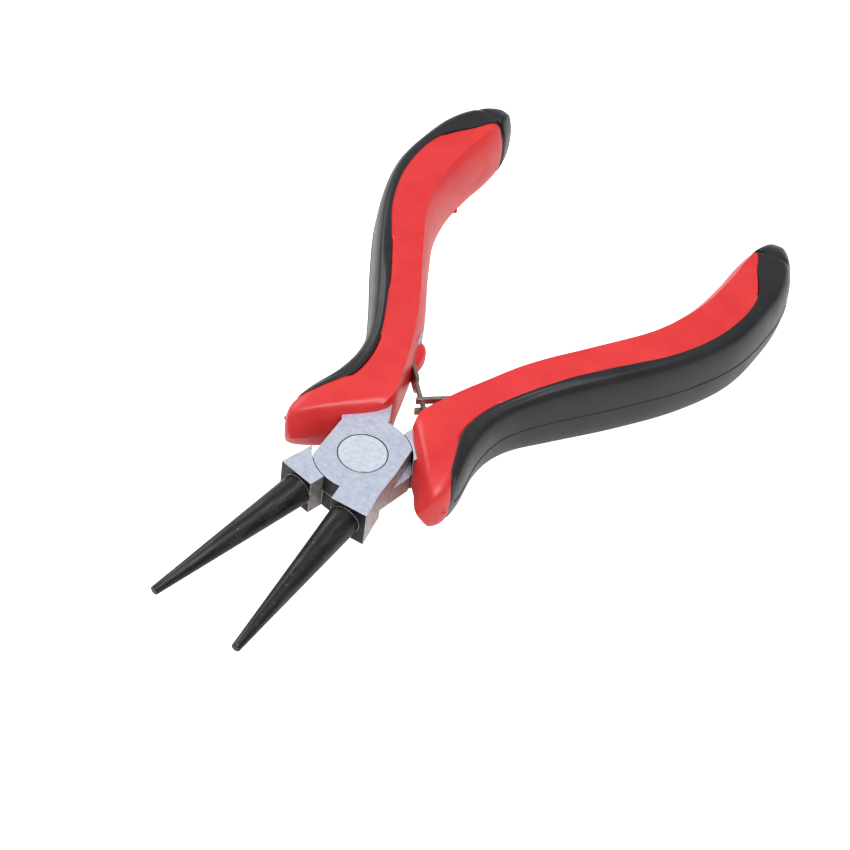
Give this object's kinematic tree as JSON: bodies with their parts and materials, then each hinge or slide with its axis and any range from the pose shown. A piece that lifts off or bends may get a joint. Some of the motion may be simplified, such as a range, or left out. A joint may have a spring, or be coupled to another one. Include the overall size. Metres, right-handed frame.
{
  "type": "round nose pliers",
  "caption": "Round nose jewellery pliers with slim tapered cone jaws, a riveted lap joint, leaf springs between the handles and curved two-colour grips",
  "frame": {"origin": "on the pivot axis, at the underside of the head, which is the flush underside of the pivot rivet", "axes": "+Z along the pivot axis, up as the pliers lie flat; -Y along the centre line of the open jaws towards their tips, +Y towards the handles; +X to the side of the jaw that belongs to the upper half"},
  "size_m": [0.0737, 0.13, 0.014],
  "materials": {
    "ground_steel": "ground head, black oxide on the cone jaws",
    "rivet_steel": "peened and ground flush",
    "spring_steel": "rolled spring strip",
    "red_grip": "satin soft PVC",
    "black_grip": "satin soft overmould"
  },
  "bodies": {
    "lower_body": {"lower_half": "ground_steel", "pivot_rivet": "rivet_steel", "right_grip_core": "red_grip", "right_grip_cover": "black_grip", "right_spring_pin": "rivet_steel"},
    "upper_body": {"upper_half": "ground_steel", "left_grip_core": "red_grip", "left_grip_cover": "black_grip", "left_spring_pin": "rivet_steel"},
    "left_leaf": {"left_spring": "spring_steel"},
    "right_leaf": {"right_spring": "spring_steel"}
  },
  "joints": [
    {"name": "jaw_pivot", "type": "hinge", "parent": "lower_body", "child": "upper_body", "pos_m": [0, 0, 0.0035], "axis": [0, 0, 1], "range_deg": [-20, 2], "stiffness_Nm_per_rad": 0.3},
    {"name": "left_leaf_flex", "type": "hinge", "parent": "upper_body", "child": "left_leaf", "pos_m": [-0.00918, 0.02479, 0.0035], "axis": [0, 0, 1], "range_deg": [-17.8, 1.78]},
    {"name": "right_leaf_flex", "type": "hinge", "parent": "lower_body", "child": "right_leaf", "pos_m": [0.0072, 0.02557, 0.0035], "axis": [0, 0, 1], "range_deg": [-1.78, 17.8]}
  ],
  "couplings": [
    {"joint": "left_leaf_flex", "follows": "jaw_pivot", "ratio": 0.89},
    {"joint": "right_leaf_flex", "follows": "jaw_pivot", "ratio": -0.89}
  ]
}
